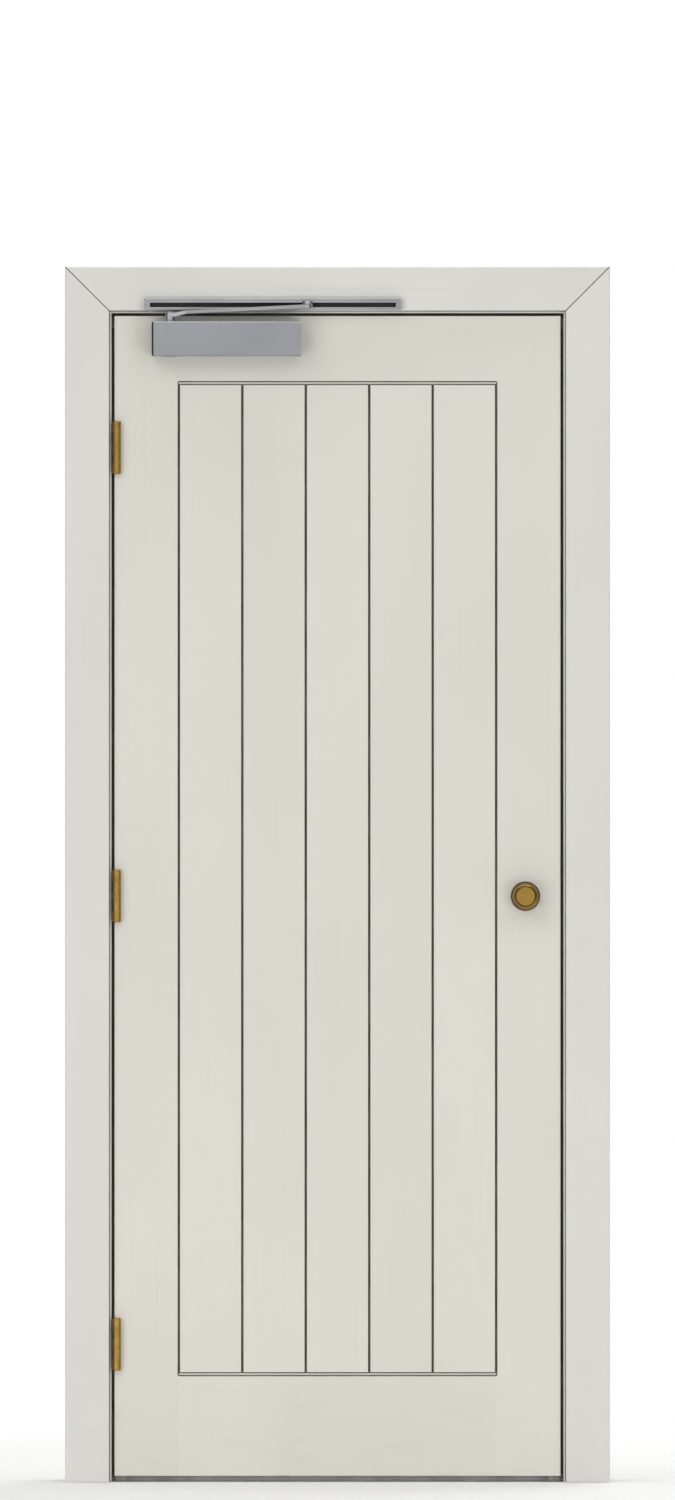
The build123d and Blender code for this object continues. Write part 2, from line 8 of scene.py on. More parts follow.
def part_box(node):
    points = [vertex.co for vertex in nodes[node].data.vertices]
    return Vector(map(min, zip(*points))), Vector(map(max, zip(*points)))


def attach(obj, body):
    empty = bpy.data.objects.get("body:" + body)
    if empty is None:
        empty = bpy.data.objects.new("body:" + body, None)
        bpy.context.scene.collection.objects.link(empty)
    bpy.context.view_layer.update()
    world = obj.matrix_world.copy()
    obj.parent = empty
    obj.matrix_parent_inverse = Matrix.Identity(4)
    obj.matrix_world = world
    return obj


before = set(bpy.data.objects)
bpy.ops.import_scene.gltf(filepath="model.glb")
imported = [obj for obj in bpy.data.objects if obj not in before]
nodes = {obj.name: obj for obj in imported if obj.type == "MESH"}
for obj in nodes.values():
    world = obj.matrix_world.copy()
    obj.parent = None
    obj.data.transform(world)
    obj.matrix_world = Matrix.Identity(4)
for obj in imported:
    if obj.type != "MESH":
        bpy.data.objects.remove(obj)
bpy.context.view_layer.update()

# ------------------------------------------------------------------ places, in metres
LEAF_FRONT, LEAF_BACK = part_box("panel_board_1")[0].y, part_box("panel_board_1")[1].y
PANEL_X0, PANEL_X1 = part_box("panel_board_1")[0].x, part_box("panel_board_5")[1].x
PANEL_Z0, PANEL_Z1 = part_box("panel_board_1")[0].z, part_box("panel_board_1")[1].z
KNOB = (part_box("front_knob")[0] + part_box("front_knob")[1]) / 2
ARCH_IN_X0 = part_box("front_architrave_hinge_side")[1].x
ARCH_IN_X1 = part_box("front_architrave_lock_side")[0].x
ARCH_IN_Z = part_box("front_architrave_head")[0].z
MITRE_LEFT = ARCH_IN_X0 + ARCH_IN_Z
MITRE_RIGHT = ARCH_IN_X1 - ARCH_IN_Z
BEVEL = 0.006  # width of the rails' bevels, up to the quirk along their outer edges


def srgb(r, g, b):
    """Linear colour of an 8-bit display colour."""
    out = []
    for v in (r, g, b):
        v /= 255.0
        out.append(v / 12.92 if v <= 0.04045 else ((v + 0.055) / 1.055) ** 2.4)
    return (*out, 1.0)


# ------------------------------------------------------------------ material kit
class Mat:
    """A node material with short calls for the nodes used here. Coordinates are the row frame's metres."""

    def __init__(self, name):
        self.mat = bpy.data.materials.new(name)
        self.mat.use_nodes = True
        self.nt = self.mat.node_tree
        self.nt.nodes.clear()
        self.out = self.nt.nodes.new("ShaderNodeOutputMaterial")
        self.bsdf = self.nt.nodes.new("ShaderNodeBsdfPrincipled")
        self.nt.links.new(self.bsdf.outputs[0], self.out.inputs[0])
        self.coord = self.nt.nodes.new("ShaderNodeTexCoord").outputs["Object"]
        sep = self.nt.nodes.new("ShaderNodeSeparateXYZ")
        self.nt.links.new(self.coord, sep.inputs[0])
        self.x, self.y, self.z = sep.outputs

    def put(self, socket, value):
        if isinstance(value, bpy.types.NodeSocket):
            self.nt.links.new(value, socket)
        else:
            socket.default_value = value

    def set(self, **inputs):
        for key, value in inputs.items():
            self.put(self.bsdf.inputs[key.replace("_", " ")], value)

    def mapped(self, scale=(1, 1, 1), loc=(0, 0, 0), rot=(0, 0, 0), vec=None):
        n = self.nt.nodes.new("ShaderNodeMapping")
        self.put(n.inputs["Vector"], vec or self.coord)
        n.inputs["Scale"].default_value = scale
        n.inputs["Location"].default_value = loc
        n.inputs["Rotation"].default_value = rot
        return n.outputs[0]

    def noise(self, vec, scale=1.0, detail=2.0, rough=0.5, distort=0.0):
        n = self.nt.nodes.new("ShaderNodeTexNoise")
        self.put(n.inputs["Vector"], vec)
        n.inputs["Scale"].default_value = scale
        n.inputs["Detail"].default_value = detail
        n.inputs["Roughness"].default_value = rough
        n.inputs["Distortion"].default_value = distort
        return n.outputs[0]

    def voronoi(self, vec, scale=1.0, feature="F1"):
        n = self.nt.nodes.new("ShaderNodeTexVoronoi")
        n.feature = feature
        self.put(n.inputs["Vector"], vec)
        n.inputs["Scale"].default_value = scale
        return n.outputs["Distance"]

    def math(self, op, a, b=0.0, c=None, clamp=False):
        n = self.nt.nodes.new("ShaderNodeMath")
        n.operation = op
        n.use_clamp = clamp
        self.put(n.inputs[0], a)
        self.put(n.inputs[1], b)
        if c is not None:
            self.put(n.inputs[2], c)
        return n.outputs[0]

    def span(self, value, a, b, lo=0.0, hi=1.0, smooth=True):
        n = self.nt.nodes.new("ShaderNodeMapRange")
        n.interpolation_type = "SMOOTHSTEP" if smooth else "LINEAR"
        n.clamp = True
        self.put(n.inputs["Value"], value)
        n.inputs["From Min"].default_value = a
        n.inputs["From Max"].default_value = b
        n.inputs["To Min"].default_value = lo
        n.inputs["To Max"].default_value = hi
        return n.outputs[0]

    def mix(self, fac, a, b, blend="MIX"):
        n = self.nt.nodes.new("ShaderNodeMix")
        n.data_type = "RGBA"
        n.blend_type = blend
        n.clamp_factor = True
        self.put(n.inputs["Factor"], fac)
        self.put(n.inputs[6], a)
        self.put(n.inputs[7], b)
        return n.outputs[2]

    def bump(self, height, strength=1.0, distance=0.001, normal=None):
        n = self.nt.nodes.new("ShaderNodeBump")
        n.inputs["Strength"].default_value = strength
        n.inputs["Distance"].default_value = distance
        self.put(n.inputs["Height"], height)
        if normal is not None:
            self.put(n.inputs["Normal"], normal)
        return n.outputs[0]

    def within(self, value, lo, hi, soft):
        """1 between lo and hi, falling to 0 over soft on each side."""
        return self.math("MULTIPLY", self.span(value, lo - soft, lo), self.span(value, hi, hi + soft, 1.0, 0.0))

    def radius(self, centre, axes):
        """Distance from centre in the plane of two of the coordinates."""
        parts = [self.math("SUBTRACT", getattr(self, a), getattr(centre, a)) for a in axes]
        squares = [self.math("MULTIPLY", p, p) for p in parts]
        return self.math("SQRT", self.math("ADD", *squares))


# ------------------------------------------------------------------ paint
LEAF_PAINT = srgb(218, 215, 206)
FRAME_PAINT = srgb(217, 216, 211)


def paint(name, colour, along, seed, node, leaf=False, mitred=False):
    """Satin paint over planed timber: brush marks and faint grain along the piece, a fine stipple, slow drifts of tone,
    painted shade with dust in the joints and corners, scuffs near the floor and rubbed arrises. along is the axis of
    the grain."""
    m = Mat(name)
    shift = (seed * 3.17 % 5, seed * 1.73 % 5, seed * 2.39 % 5)
    across, run = 1.0, 0.02
    stretch = {"z": (across, across, run), "x": (run, across, across)}[along]
    fine = m.noise(m.mapped(tuple(s * 620 for s in stretch), shift), 1.0, 3.0, 0.55)
    grain = m.noise(m.mapped(tuple(s * 95 for s in stretch), shift), 1.0, 4.0, 0.6, 0.35)
    stipple = m.noise(m.mapped((1, 1, 1), shift), 560.0, 2.0, 0.5)
    drift = m.noise(m.mapped((1, 1, 0.55), shift), 2.6, 3.0, 0.5)
    cloud = m.noise(m.mapped((1, 1, 1), (shift[2], shift[0], shift[1])), 14.0, 4.0, 0.6)

    tone = m.mix(m.span(drift, 0.35, 0.65), tuple(c * 0.975 for c in colour[:3]) + (1,), tuple(min(1, c * 1.018) for c in colour[:3]) + (1,))
    warm = tuple(c * k for c, k in zip(colour[:3], (1.0, 0.985, 0.955))) + (1,)
    tone = m.mix(m.span(cloud, 0.52, 0.78, 0.0, 0.35), tone, warm)
    streak = tuple(c * 0.955 for c in colour[:3]) + (1,)
    tone = m.mix(m.span(grain, 0.56, 0.75, 0.0, 0.55), tone, streak)
    # scuffs and dust near the floor
    scuff_noise = m.noise(m.mapped((9, 9, 34), shift), 1.0, 5.0, 0.65)
    low_zone = m.span(m.z, 0.02, 0.30, 1.0, 0.0)
    scuff = m.math("MULTIPLY", low_zone, m.span(scuff_noise, 0.50, 0.72))
    tone = m.mix(m.math("MULTIPLY", scuff, 0.15), tone, tuple(c * k for c, k in zip(colour[:3], (0.74, 0.71, 0.66))) + (1,))
    # rubbed arrises: the coat is thin along the piece's long edges, in places
    lo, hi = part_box(node)
    cross = "x" if along == "z" else "z"
    at = getattr(m, cross)
    low_edge = m.span(at, getattr(lo, cross), getattr(lo, cross) + 0.0022, 1.0, 0.0)
    high_edge = m.span(at, getattr(hi, cross) - 0.0022, getattr(hi, cross))
    if node in ("hinge_stile", "bottom_rail"):
        near = low_edge
    elif node in ("lock_stile", "top_rail"):
        near = high_edge
    else:
        near = m.math("MAXIMUM", low_edge, high_edge)
    face_edge = m.math("MAXIMUM", m.span(m.y, lo.y, lo.y + 0.0022, 1.0, 0.0), m.span(m.y, hi.y - 0.0022, hi.y))
    chip = m.noise(m.mapped(tuple({"z": (150, 150, 26), "x": (26, 150, 150)}[along]), shift), 1.0, 4.0, 0.65)
    worn = m.math("MULTIPLY", m.math("MULTIPLY", near, face_edge), m.span(chip, 0.52, 0.64))
    if not node.startswith("panel"):
        tone = m.mix(m.math("MULTIPLY", worn, 0.42), tone, (0.44, 0.36, 0.27, 1))
    if mitred:
        # painted shade with dust: a near-black line down the V along each mitre, on whichever face shows
        left = m.math("ABSOLUTE", m.math("SUBTRACT", m.math("ADD", m.x, m.z), MITRE_LEFT))
        right = m.math("ABSOLUTE", m.math("SUBTRACT", m.math("SUBTRACT", m.x, m.z), MITRE_RIGHT))
        line = m.math("MAXIMUM", m.span(left, 0.0009, 0.0014, 1.0, 0.0), m.span(right, 0.0009, 0.0014, 1.0, 0.0))
        line = m.math("MULTIPLY", line, m.span(m.z, ARCH_IN_Z - 0.006, ARCH_IN_Z - 0.003))
        tone = m.mix(m.math("MULTIPLY", line, 0.92), tone, tuple(c * k for c, k in zip(colour[:3], (0.16, 0.152, 0.14))) + (1,))
    if node in ("hinge_jamb", "lock_jamb", "head_lining"):
        # painted shade with dust: a near-black line in the corner where the architraves stand on the lining's two edges
        off = {
            "hinge_jamb": lambda: m.math("SUBTRACT", m.x, ARCH_IN_X0),
            "lock_jamb": lambda: m.math("SUBTRACT", ARCH_IN_X1, m.x),
            "head_lining": lambda: m.math("SUBTRACT", ARCH_IN_Z, m.z),
        }[node]()
        edge = m.math("MAXIMUM", m.span(m.y, lo.y + 0.0002, lo.y + 0.0005, 1.0, 0.0), m.span(m.y, hi.y - 0.0005, hi.y - 0.0002))
        corner = m.math("MULTIPLY", m.within(off, -0.001, 0.0011, 0.0003), edge)
        tone = m.mix(m.math("MULTIPLY", corner, 0.95), tone, tuple(c * k for c, k in zip(colour[:3], (0.13, 0.124, 0.115))) + (1,))
    if node.endswith("_stop"):
        # painted shade with dust in the rebate's corner, on the face that the leaf shuts against, darkening the gap
        # round the leaf
        off = {
            "hinge_side_stop": lambda: m.math("SUBTRACT", m.x, lo.x),
            "lock_side_stop": lambda: m.math("SUBTRACT", hi.x, m.x),
            "head_stop": lambda: m.math("SUBTRACT", hi.z, m.z),
        }[node]()
        rebate = m.math("MULTIPLY", m.span(off, 0.0045, 0.0085, 1.0, 0.0), m.span(m.y, lo.y + 0.0003, lo.y + 0.0008, 1.0, 0.0))
        rebate = m.math("MULTIPLY", rebate, m.span(cloud, 0.25, 0.6, 0.75, 1.0))
        tone = m.mix(m.math("MULTIPLY", rebate, 0.80), tone, tuple(c * k for c, k in zip(colour[:3], (0.15, 0.143, 0.132))) + (1,))
    if node == "lock_jamb":
        # the bolt's pocket is bare timber
        pocket = m.math(
            "MULTIPLY",
            m.span(m.x, lo.x + 0.0026, lo.x + 0.0030),
            m.math("MULTIPLY", m.within(m.z, KNOB.z - 0.0142, KNOB.z + 0.0142, 0.0003), m.within(m.y, LEAF_FRONT + 0.0138, LEAF_BACK - 0.0138, 0.0003)),
        )
        pocket = m.math("MULTIPLY", pocket, m.span(m.x, lo.x + 0.017, lo.x + 0.018, 1.0, 0.0))
        bare = m.mix(m.span(grain, 0.35, 0.65), (0.42, 0.30, 0.18, 1), (0.30, 0.20, 0.11, 1))
        tone = m.mix(pocket, tone, bare)
    if leaf:
        # painted shade with dust: the V joints, the foot of the rails' bevels and their quirks are painted near black,
        # on both faces
        if along == "x":
            foot = m.math(
                "MINIMUM",
                m.math("ABSOLUTE", m.math("SUBTRACT", m.z, PANEL_Z0)),
                m.math("ABSOLUTE", m.math("SUBTRACT", m.z, PANEL_Z1)),
            )
            quirk = m.math("ABSOLUTE", m.math("SUBTRACT", foot, BEVEL))
            groove_dust_and_shade = m.math("MAXIMUM", m.span(foot, 0.0014, 0.0020, 1.0, 0.0), m.span(quirk, 0.0009, 0.0012, 1.0, 0.0))
        else:
            inside = m.math(
                "MULTIPLY",
                m.within(m.x, PANEL_X0 - 0.0027, PANEL_X1 + 0.0027, 0.0004),
                m.within(m.z, PANEL_Z0 - BEVEL - 0.0006, PANEL_Z1 + BEVEL + 0.0006, 0.0004),
            )
            a, b = 0.00005, 0.0009
            depth = m.math("MULTIPLY", m.span(m.y, LEAF_FRONT + a, LEAF_FRONT + b), m.span(m.y, LEAF_BACK - b, LEAF_BACK - a, 1.0, 0.0))
            groove_dust_and_shade = m.math("MULTIPLY", inside, depth)
        groove_dust_and_shade = m.math("MULTIPLY", groove_dust_and_shade, m.span(cloud, 0.32, 0.62, 0.82, 0.96))
        tone = m.mix(groove_dust_and_shade, tone, tuple(c * k for c, k in zip(colour[:3], (0.13, 0.124, 0.114))) + (1,))
        # handled paint round the knob
        hand = m.span(m.radius(KNOB, ("x", "z")), 0.030, 0.115, 1.0, 0.0)
        hand = m.math("MULTIPLY", hand, m.span(cloud, 0.3, 0.7, 0.35, 1.0))
        tone = m.mix(m.math("MULTIPLY", hand, 0.10), tone, tuple(c * k for c, k in zip(colour[:3], (0.80, 0.765, 0.69))) + (1,))
    m.set(Base_Color=tone, IOR=1.47, Specular_IOR_Level=0.42)
    m.set(Roughness=m.math("ADD", m.span(cloud, 0.25, 0.75, 0.36, 0.46), m.span(fine, 0.3, 0.7, -0.03, 0.04)))
    n = m.bump(grain, 0.34, 0.0006)
    n = m.bump(fine, 0.30, 0.00026, n)
    n = m.bump(stipple, 0.14, 0.00018, n)
    m.set(Normal=n)
    return m.mat


# ------------------------------------------------------------------ metals and plastics
def brass(name, turned=None, along=None, seed=0.0):
    """Satin brass with fine lines: turned about a centre in x and z, or drawn along an axis; dulled in patches."""
    m = Mat(name)
    shift = (seed * 1.9 % 3, seed * 2.3 % 3, seed * 0.7 % 3)
    if turned is not None:
        r = m.radius(turned, ("x", "z"))
        ring = m.nt.nodes.new("ShaderNodeCombineXYZ")
        m.put(ring.inputs[0], m.math("MULTIPLY", r, 2600.0))
        m.put(ring.inputs[1], m.math("MULTIPLY", m.y, 2600.0))
        lines = m.noise(ring.outputs[0], 1.0, 3.0, 0.6)
    else:
        stretch = {"z": (2300, 2300, 60), "x": (60, 2300, 2300), "y": (2300, 60, 2300)}[along]
        lines = m.noise(m.mapped(stretch, shift), 1.0, 3.0, 0.6)
    patch = m.noise(m.mapped((1, 1, 1), shift), 62.0, 5.0, 0.6)
    fleck = m.noise(m.mapped((1, 1, 1), shift), 420.0, 2.0, 0.5)
    bright, dull = (0.385, 0.244, 0.062, 1), (0.320, 0.198, 0.048, 1)
    tone = m.mix(m.span(patch, 0.38, 0.68), bright, dull)
    tone = m.mix(m.span(fleck, 0.62, 0.80, 0.0, 0.45), tone, (0.24, 0.147, 0.036, 1))
    if turned is not None:
        # the rounded rim is darker in patches; the turned line and the rose's ring round the knob are painted near
        # black, as painted shade with some tarnish
        tone = m.mix(m.math("MULTIPLY", m.within(r, 0.0172, 0.0232, 0.0006), m.span(patch, 0.3, 0.7, 0.20, 0.42)), tone, (0.205, 0.138, 0.046, 1))
        rim = m.math("MAXIMUM", m.within(r, 0.0160, 0.0173, 0.0005), m.span(r, 0.0220, 0.0229))
        tone = m.mix(m.math("MULTIPLY", rim, 0.88), tone, (0.052, 0.032, 0.010, 1))
    m.set(Base_Color=tone, Metallic=1.0)
    m.set(Roughness=m.math("ADD", m.span(patch, 0.3, 0.75, 0.40, 0.52), m.span(lines, 0.3, 0.7, -0.05, 0.06)))
    n = m.bump(lines, 0.20, 0.00006)
    m.set(Normal=m.bump(fleck, 0.10, 0.00008, n))
    return m.mat


def silver_enamel(name):
    """Sprayed silver enamel: fine metal flake in a clear binder, with the slight peel of a sprayed coat."""
    m = Mat(name)
    flake = m.voronoi(m.coord, 2600.0)
    peel = m.noise(m.coord, 360.0, 2.0, 0.5)
    drift = m.noise(m.coord, 11.0, 3.0, 0.55)
    rub = m.noise(m.mapped((16, 60, 60)), 1.0, 4.0, 0.6)
    base = m.mix(m.span(drift, 0.3, 0.7), (0.315, 0.328, 0.349, 1), (0.348, 0.361, 0.382, 1))
    base = m.mix(m.span(flake, 0.15, 0.75, 0.0, 0.5), base, (0.295, 0.307, 0.328, 1))
    base = m.mix(m.span(rub, 0.60, 0.78, 0.0, 0.25), base, (0.26, 0.268, 0.282, 1))
    m.set(Base_Color=base, Metallic=0.55, Coat_Weight=0.25, Coat_Roughness=0.22)
    m.set(Roughness=m.math("ADD", m.span(drift, 0.3, 0.7, 0.40, 0.48), m.span(flake, 0.2, 0.7, -0.03, 0.05)))
    n = m.bump(peel, 0.16, 0.00018)
    m.set(Normal=m.bump(flake, 0.10, 0.00006, n))
    return m.mat


def anodised(name, along="x", slot=None):
    """Satin anodised aluminium with drawing lines along one axis; slot is a box whose inside is painted near black, as
    painted shade.
    """
    m = Mat(name)
    stretch = {"x": (40, 1900, 1900), "z": (1900, 1900, 40)}[along]
    lines = m.noise(m.mapped(stretch), 1.0, 4.0, 0.6)
    broad = m.noise(m.mapped(tuple(s * 0.16 for s in stretch)), 1.0, 3.0, 0.5)
    drift = m.noise(m.coord, 9.0, 3.0, 0.5)
    base = m.mix(m.span(drift, 0.3, 0.7), (0.42, 0.427, 0.444, 1), (0.47, 0.477, 0.494, 1))
    base = m.mix(m.span(broad, 0.45, 0.75, 0.0, 0.35), base, (0.33, 0.336, 0.352, 1))
    rough = m.math("ADD", m.span(lines, 0.3, 0.7, 0.30, 0.42), m.span(drift, 0.3, 0.7, -0.02, 0.03))
    metal = 1.0
    if slot is not None:
        lo, hi = slot
        # painted shade: the slot's inside is painted near black, matt and not metal
        inside = m.math(
            "MULTIPLY",
            m.math("MULTIPLY", m.within(m.x, lo[0], hi[0], 0.0003), m.within(m.z, lo[2], hi[2], 0.0003)),
            m.span(m.y, lo[1], lo[1] + 0.0006),
        )
        base = m.mix(inside, base, (0.012, 0.012, 0.014, 1))
        rough = m.math("ADD", rough, m.math("MULTIPLY", inside, 0.25))
        metal = m.math("SUBTRACT", 1.0, inside)
    m.set(Base_Color=base, Roughness=rough, Metallic=metal)
    n = m.bump(lines, 0.22, 0.00008)
    m.set(Normal=m.bump(broad, 0.10, 0.00010, n))
    return m.mat


def dark_plastic(name):
    m = Mat(name)
    grit = m.noise(m.coord, 900.0, 3.0, 0.6)
    drift = m.noise(m.coord, 40.0, 3.0, 0.5)
    base = m.mix(m.span(drift, 0.3, 0.7), (0.010, 0.010, 0.011, 1), (0.020, 0.020, 0.022, 1))
    m.set(Base_Color=base, Roughness=m.span(grit, 0.3, 0.7, 0.48, 0.62), Specular_IOR_Level=0.4)
    m.set(Normal=m.bump(grit, 0.25, 0.00008))
    return m.mat


def threshold_metal(name):
    m = Mat(name)
    lines = m.noise(m.mapped((30, 1500, 1500)), 1.0, 4.0, 0.6)
    dirt = m.noise(m.coord, 26.0, 5.0, 0.65)
    base = m.mix(m.span(dirt, 0.35, 0.7), (0.430, 0.422, 0.425, 1), (0.330, 0.321, 0.318, 1))
    base = m.mix(m.span(lines, 0.55, 0.8, 0.0, 0.4), base, (0.48, 0.472, 0.475, 1))
    m.set(Base_Color=base, Metallic=0.35, Roughness=m.math("ADD", m.span(lines, 0.3, 0.7, 0.40, 0.52), m.span(dirt, 0.3, 0.8, 0.0, 0.12)))
    m.set(Normal=m.bump(lines, 0.25, 0.0001))
    return m.mat


def steel(name, seed=0.0):
    m = Mat(name)
    lines = m.noise(m.mapped((1500, 90, 1500), (seed, 0, 0)), 1.0, 3.0, 0.6)
    patch = m.noise(m.coord, 90.0, 4.0, 0.6)
    base = m.mix(m.span(patch, 0.35, 0.7), (0.47, 0.47, 0.475, 1), (0.36, 0.355, 0.35, 1))
    m.set(Base_Color=base, Metallic=1.0, Roughness=m.math("ADD", m.span(lines, 0.3, 0.7, 0.28, 0.38), m.span(patch, 0.3, 0.8, 0.0, 0.08)))
    m.set(Normal=m.bump(lines, 0.2, 0.00006))
    return m.mat


def dress(name, material):
    """Gives a CAD node its finish."""
    o = nodes[name]
    for s in o.material_slots:
        s.material = material
    if not o.material_slots:
        o.data.materials.append(material)


# leaf
for i in range(1, 6):
    dress(f"panel_board_{i}", paint(f"leaf_paint_board_{i}", LEAF_PAINT, "z", 1.3 * i, f"panel_board_{i}", leaf=True))
dress("hinge_stile", paint("leaf_paint_hinge_stile", LEAF_PAINT, "z", 9.1, "hinge_stile", leaf=True))
dress("lock_stile", paint("leaf_paint_lock_stile", LEAF_PAINT, "z", 10.7, "lock_stile", leaf=True))
dress("top_rail", paint("leaf_paint_top_rail", LEAF_PAINT, "x", 12.3, "top_rail", leaf=True))
dress("bottom_rail", paint("leaf_paint_bottom_rail", LEAF_PAINT, "x", 13.9, "bottom_rail", leaf=True))
# lining, stops and architraves
for k, n in enumerate(("hinge_jamb", "lock_jamb", "hinge_side_stop", "lock_side_stop", "front_architrave_hinge_side", "front_architrave_lock_side",
                       "back_architrave_hinge_side", "back_architrave_lock_side")):
    dress(n, paint(f"frame_paint_{n}", FRAME_PAINT, "z", 20.3 + 1.7 * k, n, mitred="architrave" in n))
for k, n in enumerate(("head_lining", "head_stop", "front_architrave_head", "back_architrave_head")):
    dress(n, paint(f"frame_paint_{n}", FRAME_PAINT, "x", 40.9 + 1.7 * k, n, mitred="architrave" in n))
# fittings
knob_brass = brass("brass_turned", turned=KNOB, seed=1.0)
for n in ("front_knob", "back_knob", "front_rose", "back_rose"):
    dress(n, knob_brass)
hinge_brass = brass("brass_drawn", along="z", seed=2.0)
for where in ("lower", "middle", "upper"):
    dress(f"{where}_hinge_frame_leaf", hinge_brass)
    dress(f"{where}_hinge_door_leaf", hinge_brass)
dress("hinge_pins", hinge_brass)
latch_brass = brass("brass_latch", along="z", seed=3.0)
for n in ("latch_faceplate", "strike_plate", "latch_bolt"):
    dress(n, latch_brass)
dress("knob_spindle", steel("spindle_steel"))
dress("closer_body", silver_enamel("closer_enamel"))
dress("closer_end_cap", dark_plastic("cap_plastic"))
arm_metal = anodised("arm_metal", "x")
for n in ("closer_arm", "closer_spindle", "closer_slider"):
    dress(n, arm_metal)
track_lo, track_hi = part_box("closer_track")
dress("closer_track", anodised("track_metal", "x", slot=((track_lo.x + 0.0106, track_lo.y + 0.0003, 2.00575), (track_hi.x - 0.0092, track_hi.y, 2.01335))))
dress("threshold_strip", threshold_metal("threshold_metal"))


# ------------------------------------------------------------------ small made pieces
def piece(name, bm, material, body, smooth=True):
    mesh = bpy.data.meshes.new(name)
    bm.normal_update()
    bm.to_mesh(mesh)
    bm.free()
    for p in mesh.polygons:
        p.use_smooth = smooth
    mesh.set_sharp_from_angle(angle=math.radians(35))
    o = bpy.data.objects.new(name, mesh)
    bpy.context.scene.collection.objects.link(o)
    mesh.materials.append(material)
    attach(o, body)
    return o


def add_screw(bm, place, normal, radius, turn, proud=0.00025, deep=0.0009, segments=40):
    """Slotted countersunk screw head: a shallow dome with a cut slot, seated in a plate's face. turn sets the slot's angle."""
    z = Vector(normal).normalized()
    x = z.orthogonal().normalized()
    y = z.cross(x)
    x, y = x * math.cos(turn) + y * math.sin(turn), y * math.cos(turn) - x * math.sin(turn)
    at = Vector(place)
    half = radius * 0.14

    def pt(u, v, w):
        return bm.verts.new(at + x * u + y * v + z * w)

    def height(r):
        return proud + 0.00018 * (1 - (r / radius) ** 2)

    edge = math.asin(half / radius)
    for side in (1, -1):  # the two halves of the head, either side of the slot
        rings = []
        for r in (radius, radius * 0.93, radius * 0.6, radius * 0.3):
            a0 = math.asin(half / r)
            row = []
            for k in range(segments // 2 + 1):
                a = a0 + (math.pi - 2 * a0) * k / (segments // 2)
                w = height(r) if r < radius else 0.0
                row.append(pt(r * math.cos(a), side * r * math.sin(a), w))
            rings.append(row)
        for outer, inner in zip(rings, rings[1:]):
            for k in range(len(outer) - 1):
                f = (outer[k], outer[k + 1], inner[k + 1], inner[k])
                bm.faces.new(f if side > 0 else f[::-1])
        inner = rings[-1]
        bm.faces.new(inner if side > 0 else inner[::-1])
        # slot's wall on this side, from the head's surface down to the slot's floor
        line = [rings[i][0] for i in range(len(rings))] + [rings[i][-1] for i in range(len(rings) - 1, -1, -1)]
        floor = [pt((v.co - at).dot(x), side * half, proud - deep) for v in line]
        for k in range(len(line) - 1):
            f = (line[k], line[k + 1], floor[k + 1], floor[k])
            bm.faces.new(f[::-1] if side > 0 else f)
    reach = radius * math.cos(edge)
    corners = [pt(-reach, -half, proud - deep), pt(reach, -half, proud - deep), pt(reach, half, proud - deep), pt(-reach, half, proud - deep)]
    bm.faces.new(corners)


screw_brass = brass("brass_screws", along="y", seed=4.0)
hinge_zs = [(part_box(f"{w}_hinge_frame_leaf")[0].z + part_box(f"{w}_hinge_frame_leaf")[1].z) / 2 for w in ("lower", "middle", "upper")]
jamb_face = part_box("hinge_jamb")[1].x
leaf_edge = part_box("hinge_stile")[0].x
pattern = ((0.010, 0.031), (0.021, 0.012), (0.010, -0.012), (0.021, -0.031))
bm_frame, bm_leaf = bmesh.new(), bmesh.new()
for h, hz in enumerate(hinge_zs):
    for s, (dy, dz) in enumerate(pattern):
        add_screw(bm_frame, (jamb_face, LEAF_FRONT + dy, hz + dz), (1, 0, 0), 0.0036, 0.7 * s + 1.1 * h)
        add_screw(bm_leaf, (leaf_edge, LEAF_FRONT + dy, hz + dz), (-1, 0, 0), 0.0036, 0.5 + 0.9 * s + 1.3 * h)
strike_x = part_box("strike_plate")[0].x
strike_y = (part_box("strike_plate")[0].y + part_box("strike_plate")[1].y) / 2
for s, dz in enumerate((0.0215, -0.0215)):
    add_screw(bm_frame, (strike_x, strike_y, KNOB.z + dz), (-1, 0, 0), 0.0034, 0.3 + s)
face_lo, face_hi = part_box("latch_faceplate")
edge_n = Vector((0.044, 0.002, 0)).normalized()
face_mid = Vector((0.798, LEAF_FRONT / 2 + LEAF_BACK / 2, KNOB.z))
for s, dz in enumerate((0.0195, -0.0195)):
    add_screw(bm_leaf, face_mid + Vector((0, 0, dz)), edge_n, 0.0034, 0.9 + 1.4 * s)


def lathe(bm, place, normal, profile, segments=48):
    """Turns a profile of (radius, height) pairs about the normal through place; a pair with radius 0 closes the surface
    to a point, and other ends are left open.
    """
    z = Vector(normal).normalized()
    x = z.orthogonal().normalized()
    y = z.cross(x)
    at = Vector(place)
    rows = []
    for r, h in profile:
        if r == 0:
            rows.append([bm.verts.new(at + z * h)])
        else:
            rows.append([bm.verts.new(at + z * h + (x * math.cos(a) + y * math.sin(a)) * r) for a in (2 * math.pi * k / segments for k in range(segments))])
    for low, high in zip(rows, rows[1:]):
        for k in range(segments):
            n = (k + 1) % segments
            if len(high) == 1:
                bm.faces.new((low[k], low[n], high[0]))
            elif len(low) == 1:
                bm.faces.new((low[0], high[n], high[k]))
            else:
                bm.faces.new((low[k], low[n], high[n], high[k]))
    return rows


def hex_socket(bm, place, normal, radius, high, across, deep, segments=48):
    """Cap screw's head with a hexagon socket sunk in its top."""
    rows = lathe(bm, place, normal, [(radius, 0.0), (radius, high - 0.0003), (radius - 0.0003, high), (across * 0.62, high)], segments)
    z = Vector(normal).normalized()
    x = z.orthogonal().normalized()
    y = z.cross(x)
    at = Vector(place) + z * high
    corner = across / math.sqrt(3)
    top = [bm.verts.new(at + (x * math.cos(a) + y * math.sin(a)) * corner) for a in (math.pi / 3 * k for k in range(6))]
    base = [bm.verts.new(v.co - z * deep) for v in top]
    ring = rows[-1]
    step = segments // 6
    for k in range(6):
        n = (k + 1) % 6
        fan = [ring[(k * step + j) % segments] for j in range(step + 1)]
        bm.faces.new(fan + [top[n], top[k]])
        bm.faces.new((top[k], top[n], base[n], base[k]))
    bm.faces.new(base)


